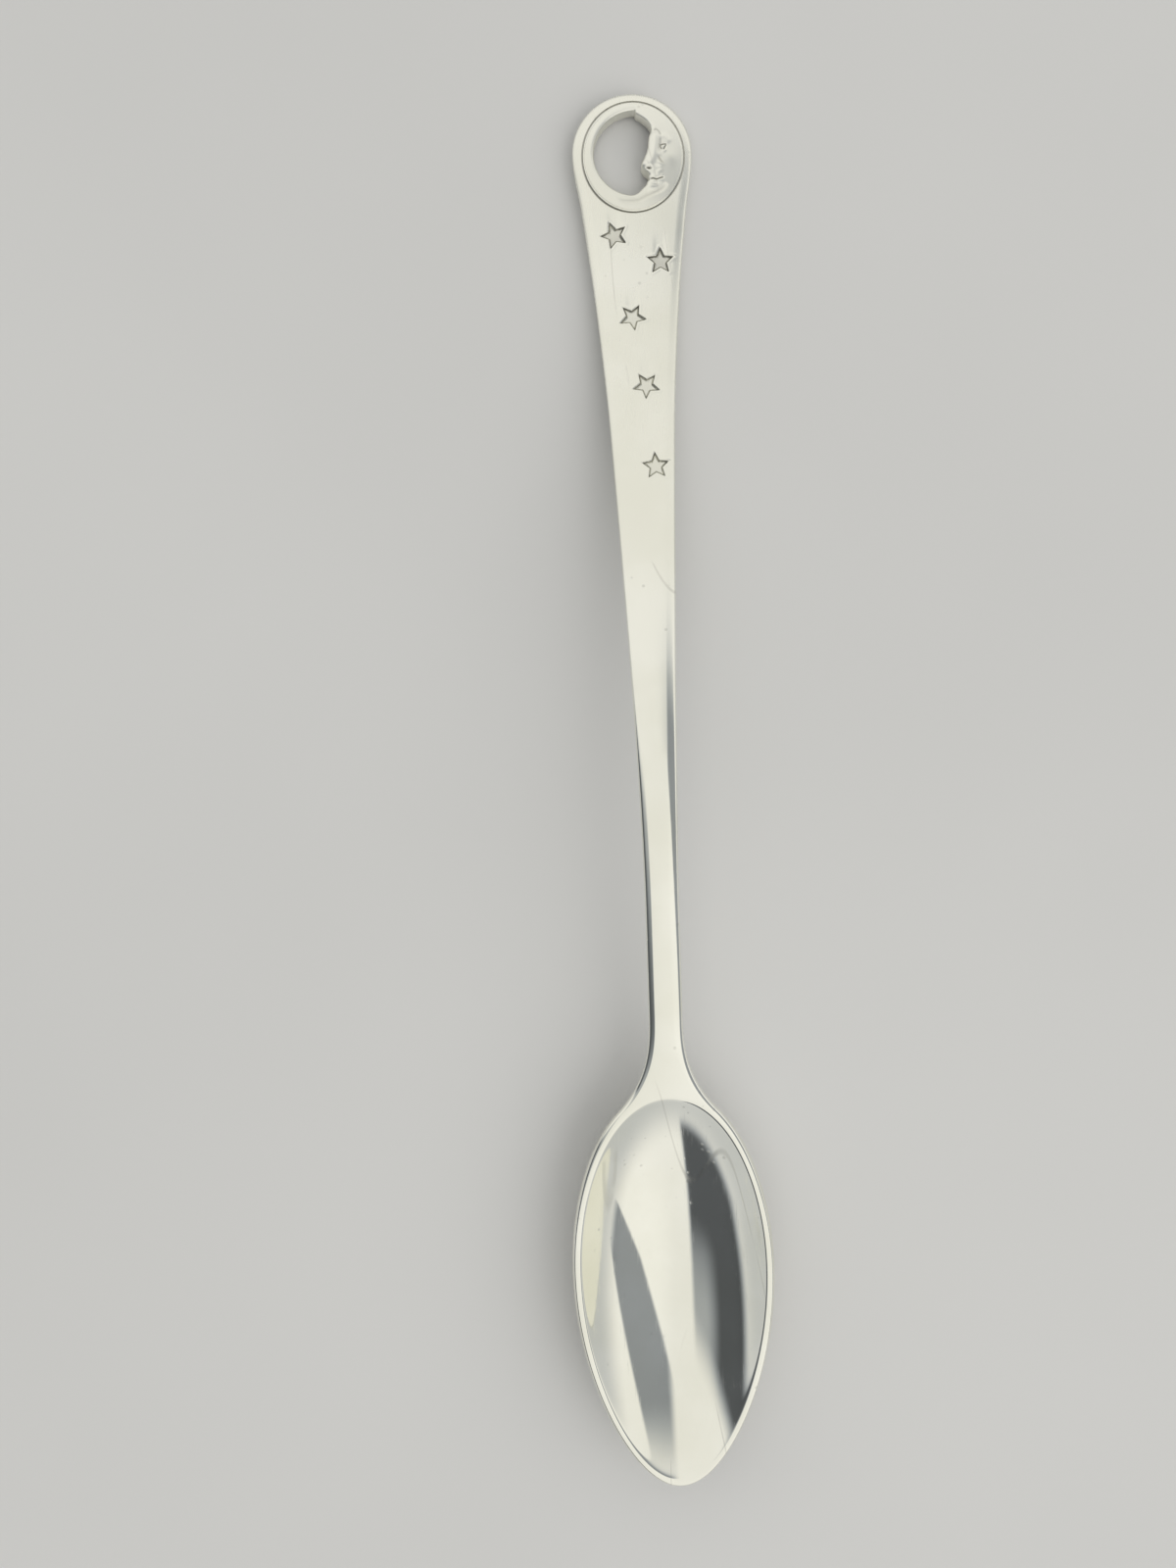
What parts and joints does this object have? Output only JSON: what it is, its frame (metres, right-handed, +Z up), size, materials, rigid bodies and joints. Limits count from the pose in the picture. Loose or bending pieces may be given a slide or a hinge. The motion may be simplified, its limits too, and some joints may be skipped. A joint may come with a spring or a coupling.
{
  "type": "baby spoon",
  "caption": "Long-handled silver baby spoon with a pointed oval bowl, a tapered arched handle struck with stars, and a pierced crescent moon with a face set in its round end",
  "frame": {"origin": "middle of the spoon's length and width, on the table that it rests on", "axes": "Y along the spoon from the tip of the bowl to the moon, Z up out of the hollow of the bowl, X to the right as seen from above"},
  "size_m": [0.0208, 0.146, 0.0106],
  "materials": {
    "polished_silver": "polished silver with fine wear marks",
    "toned_silver": "polished silver with darkened recesses"
  },
  "bodies": {
    "root": {"bowl": "polished_silver", "handle": "polished_silver", "bezel_ring": "polished_silver", "crescent_moon": "toned_silver"}
  },
  "joints": []
}
